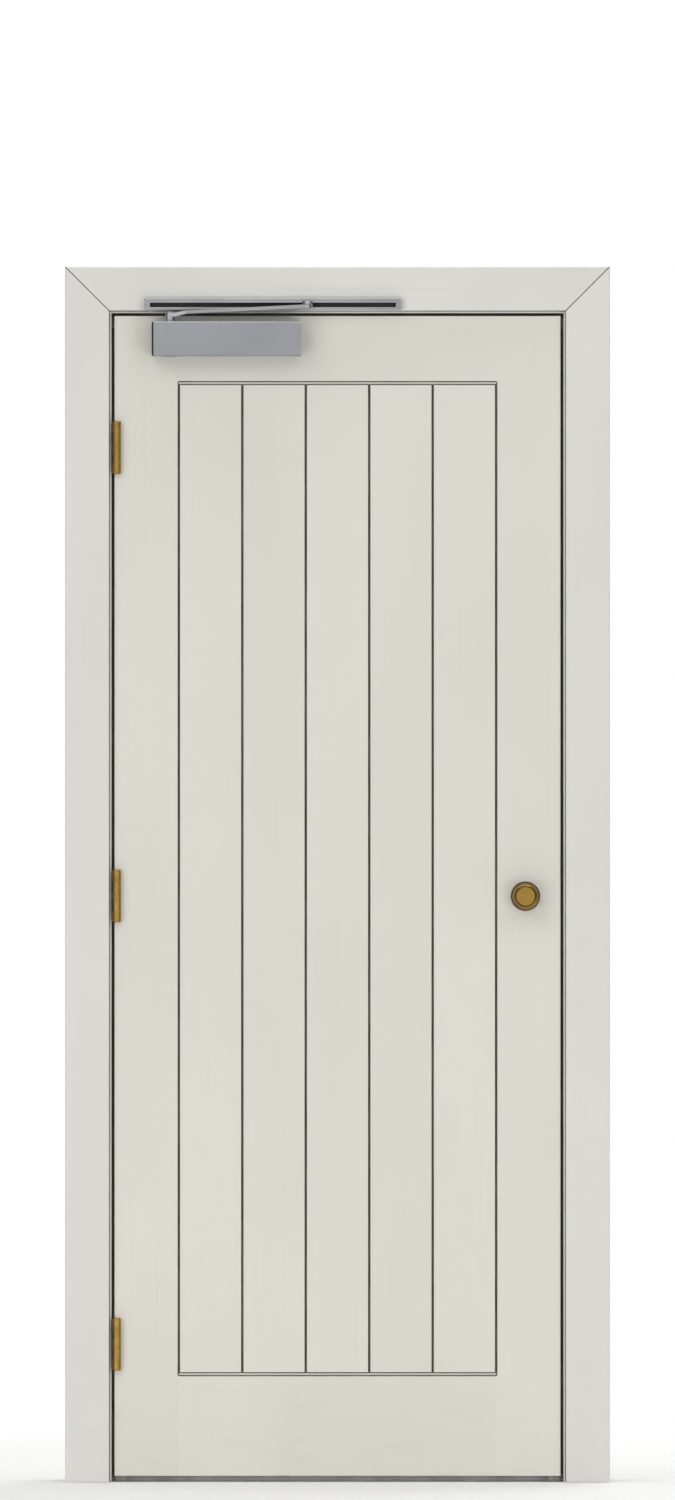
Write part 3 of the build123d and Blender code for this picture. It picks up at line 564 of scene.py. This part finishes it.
closer_lo, closer_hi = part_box("closer_body")
spindle_at = (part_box("closer_spindle")[0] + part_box("closer_spindle")[1]) / 2
fixing_steel = steel("fixing_steel", 1.7)
bm = bmesh.new()
mid_y, mid_z = (closer_lo.y + closer_hi.y) / 2, (closer_lo.z + closer_hi.z) / 2
for s, dz in enumerate((0.011, -0.011)):  # speed valves in the lock-side end
    add_screw(bm, (closer_hi.x, mid_y, mid_z + dz), (1, 0, 0), 0.0040, 0.4 + 1.2 * s)
lathe(bm, (spindle_at.x, spindle_at.y, closer_lo.z), (0, 0, -1), [(0.0105, 0.0), (0.0105, 0.0008), (0.0098, 0.0014), (0.0042, 0.0014), (0.0036, 0.0006), (0.0, 0.0006)])
piece("closer_fixings", bm, fixing_steel, "leaf")
bm = bmesh.new()
hex_socket(bm, (spindle_at.x, spindle_at.y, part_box("closer_arm")[0].z + 0.0065), (0, 0, 1), 0.0046, 0.0015, 0.0045, 0.0012)
piece("arm_screw", bm, fixing_steel, "closer_arm")
slide_lo, slide_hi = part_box("closer_slider")
bm = bmesh.new()
lathe(bm, ((slide_lo.x + slide_hi.x) / 2, slide_lo.y + 0.00855, slide_hi.z), (0, 0, 1), [(0.0036, 0.0), (0.0033, 0.0004), (0.0024, 0.0007), (0.0, 0.0008)])
piece("slider_pivot", bm, fixing_steel, "closer_slider")
piece("frame_screws", bm_frame, screw_brass, "frame")
piece("leaf_screws", bm_leaf, screw_brass, "leaf")

# ------------------------------------------------------------------ floor, light, camera
floor_mesh = bpy.data.meshes.new("floor")
fb = bmesh.new()
bmesh.ops.create_circle(fb, cap_ends=True, segments=96, radius=3.4)
fb.to_mesh(floor_mesh)
fb.free()
floor = bpy.data.objects.new("floor", floor_mesh)
floor.location = (0.418, 0.0, -0.0006)
bpy.context.scene.collection.objects.link(floor)
fm = Mat("floor_pale")
fm.set(Base_Color=fm.mix(fm.noise(fm.coord, 1.2, 3.0), (0.945, 0.945, 0.94, 1), (0.965, 0.965, 0.96, 1)), Roughness=0.85, Specular_IOR_Level=0.2)
# towards its rim the floor runs out into the white of the studio
rim = fm.span(fm.math("SQRT", fm.math("ADD", fm.math("MULTIPLY", fm.x, fm.x), fm.math("MULTIPLY", fm.y, fm.y))), 1.3, 3.1)
glow = fm.nt.nodes.new("ShaderNodeEmission")
run_out = fm.nt.nodes.new("ShaderNodeMixShader")
fm.put(run_out.inputs[0], rim)
fm.put(run_out.inputs[1], fm.bsdf.outputs[0])
fm.put(run_out.inputs[2], glow.outputs[0])
fm.put(fm.out.inputs[0], run_out.outputs[0])
floor_mesh.materials.append(fm.mat)


def softbox(name, place, aim, width, height, power, colour=(1, 1, 1)):
    light = bpy.data.lights.new(name, "AREA")
    light.shape = "RECTANGLE"
    light.size, light.size_y = width, height
    light.energy = power
    light.color = colour
    o = bpy.data.objects.new(name, light)
    o.visible_camera = False
    o.location = place
    o.rotation_euler = (Vector(aim) - Vector(place)).to_track_quat("-Z", "Y").to_euler()
    bpy.context.scene.collection.objects.link(o)
    return o


softbox("key", (-2.6, -5.2, 4.6), (0.42, -0.07, 1.7), 4.2, 3.2, 82, (1.0, 0.985, 0.965))
softbox("fill", (3.6, -4.6, 4.6), (0.42, -0.07, 1.9), 3.2, 3.6, 37, (0.965, 0.98, 1.0))
softbox("low_left", (-2.6, -5.0, 0.30), (0.42, -0.07, 1.5), 2.6, 0.5, 43, (1.0, 0.99, 0.975))
softbox("low_right", (3.4, -5.0, 0.30), (0.42, -0.07, 1.5), 2.6, 0.5, 40, (0.98, 0.99, 1.0))
softbox("top", (0.42, 0.5, 5.6), (0.42, 0.2, 0.0), 4.5, 3.5, 150)
softbox("back", (2.6, 6.4, 3.4), (0.42, 0.07, 1.0), 4.2, 3.2, 170)

world = bpy.data.worlds.new("studio")
bpy.context.scene.world = world
world.use_nodes = True
wn = world.node_tree
wn.nodes.clear()
w_out = wn.nodes.new("ShaderNodeOutputWorld")
seen = wn.nodes.new("ShaderNodeBackground")
seen.inputs["Color"].default_value = (1, 1, 1, 1)
seen.inputs["Strength"].default_value = 1.0
lit = wn.nodes.new("ShaderNodeBackground")
lit.inputs["Strength"].default_value = 1.0
wc = wn.nodes.new("ShaderNodeTexCoord")
ws = wn.nodes.new("ShaderNodeSeparateXYZ")
wn.links.new(wc.outputs["Generated"], ws.inputs[0])


def world_span(source, a, b, lo, hi):
    n = wn.nodes.new("ShaderNodeMapRange")
    n.interpolation_type = "SMOOTHSTEP"
    wn.links.new(source, n.inputs["Value"])
    n.inputs["From Min"].default_value, n.inputs["From Max"].default_value = a, b
    n.inputs["To Min"].default_value, n.inputs["To Max"].default_value = lo, hi
    return n.outputs[0]


# the room is pale in front and behind, darker to the sides, and lighter overhead
w_front = world_span(ws.outputs["Y"], -0.15, -0.95, 0.0, 0.47)
w_back = world_span(ws.outputs["Y"], 0.15, 0.95, 0.0, 0.30)
w_top = world_span(ws.outputs["Z"], 0.0, 1.0, 0.10, 0.28)
total = None
for part in (w_front, w_back, w_top):
    if total is None:
        total = part
        continue
    add = wn.nodes.new("ShaderNodeMath")
    add.operation = "ADD"
    wn.links.new(total, add.inputs[0])
    wn.links.new(part, add.inputs[1])
    total = add.outputs[0]
wn.links.new(total, lit.inputs["Color"])
wm = wn.nodes.new("ShaderNodeMixShader")
wl = wn.nodes.new("ShaderNodeLightPath")
wn.links.new(wl.outputs["Is Camera Ray"], wm.inputs[0])
wn.links.new(lit.outputs[0], wm.inputs[1])
wn.links.new(seen.outputs[0], wm.inputs[2])
wn.links.new(wm.outputs[0], w_out.inputs[0])

bpy.context.scene.view_settings.view_transform = "Standard"
bpy.context.scene.view_settings.look = "None"
bpy.context.scene.view_settings.exposure = 0.0
bpy.context.scene.view_settings.gamma = 1.0

# The view is a straight front elevation, so the camera stands far off on a long lens, square to the door.
PX = 0.001708  # metres to one pixel of the 675 by 1500 frame
FAR = 40.0
cam_data = bpy.data.cameras.new("camera")
cam_data.sensor_width = 36.0
cam_data.lens = 36.0 * FAR / (1500 * PX)
cam_data.clip_start, cam_data.clip_end = 1.0, 200.0
cam = bpy.data.objects.new("camera", cam_data)
cam.location = (0.418, -0.07 - FAR, 1.24975)
cam.rotation_euler = (math.radians(90), 0, 0)
bpy.context.scene.collection.objects.link(cam)
bpy.context.scene.camera = cam
